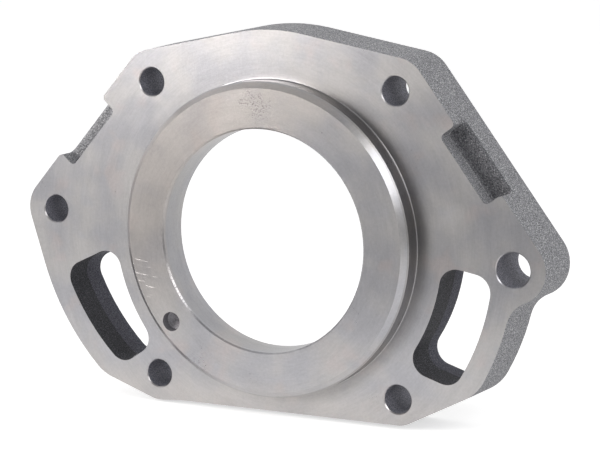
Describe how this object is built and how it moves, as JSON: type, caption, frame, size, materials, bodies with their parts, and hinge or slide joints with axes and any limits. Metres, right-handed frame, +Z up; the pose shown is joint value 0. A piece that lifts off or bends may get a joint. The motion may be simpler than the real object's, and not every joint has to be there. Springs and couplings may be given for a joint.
{
  "type": "pump adapter",
  "caption": "Flat cast plate with a raised locating ring round a large bore, bolt holes, two ears, kidney slots and rim notches; joins a hydraulic pump to a housing.",
  "frame": {"origin": "on the main bore's axis, in the plane of the machined front face", "axes": "+X to the right as seen from the front, across the two ears; -Y out of the front face, along the bore; +Z up"},
  "size_m": [0.2956, 0.042, 0.1976],
  "materials": {
    "machined_iron": "turned and milled satin faces, sand-cast rim, slots and notches"
  },
  "bodies": {
    "root": {"adapter_plate": "machined_iron"}
  },
  "joints": []
}
